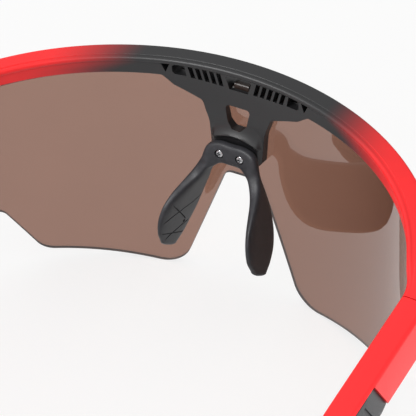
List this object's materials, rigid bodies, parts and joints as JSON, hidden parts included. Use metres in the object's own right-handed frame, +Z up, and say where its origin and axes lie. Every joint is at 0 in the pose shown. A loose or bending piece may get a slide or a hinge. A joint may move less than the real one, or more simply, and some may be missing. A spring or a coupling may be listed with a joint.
{
  "type": "wraparound sport sunglasses",
  "caption": "Wraparound sport sunglasses: a brown shield lens under a vented red-to-black brow, a rubber nose piece, and folding temples with rubber ear tips.",
  "frame": {"origin": "middle of the base: midway between the sides and between the front and the ear tips, on the surface the glasses stand on", "axes": "+Z up, +X towards the wearer's left, the lens faces -Y and the temples run towards +Y"},
  "size_m": [0.1448, 0.1708, 0.0658],
  "materials": {
    "brow_nylon": "satin red nylon fading to near-black in the middle",
    "temple_nylon": "satin red nylon",
    "lens_tint": "brown tinted polycarbonate, polished",
    "black_rubber": "fine matt rubber",
    "black_inlay": "satin black",
    "steel": "plain stainless steel"
  },
  "bodies": {
    "front": {"brow_frame": "brow_nylon", "shield_lens": "lens_tint", "nose_piece": "black_rubber", "nose_core": "steel", "nose_screw_left": "steel", "nose_screw_right": "steel", "hinge_front_leaf_left": "steel", "hinge_front_leaf_right": "steel", "hinge_screw_left": "steel", "hinge_screw_right": "steel", "leaf_screw_front_left": "steel", "leaf_screw_front_right": "steel"},
    "temple_left": {"temple_arm_left": "temple_nylon", "temple_inlay_left": "black_inlay", "temple_tip_left": "black_rubber", "hinge_temple_leaf_left": "steel", "leaf_screw_temple_left": "steel"},
    "temple_right": {"temple_arm_right": "temple_nylon", "temple_inlay_right": "black_inlay", "temple_tip_right": "black_rubber", "hinge_temple_leaf_right": "steel", "leaf_screw_temple_right": "steel"}
  },
  "joints": [
    {"name": "temple_left_fold", "type": "hinge", "parent": "front", "child": "temple_left", "pos_m": [0.06616, -0.03345, 0.04849], "axis": [-0.0051, 0.195, 0.9808], "range_deg": [0, 95]},
    {"name": "temple_right_fold", "type": "hinge", "parent": "front", "child": "temple_right", "pos_m": [-0.06616, -0.03345, 0.04849], "axis": [-0.0051, -0.195, -0.9808], "range_deg": [0, 85]}
  ]
}
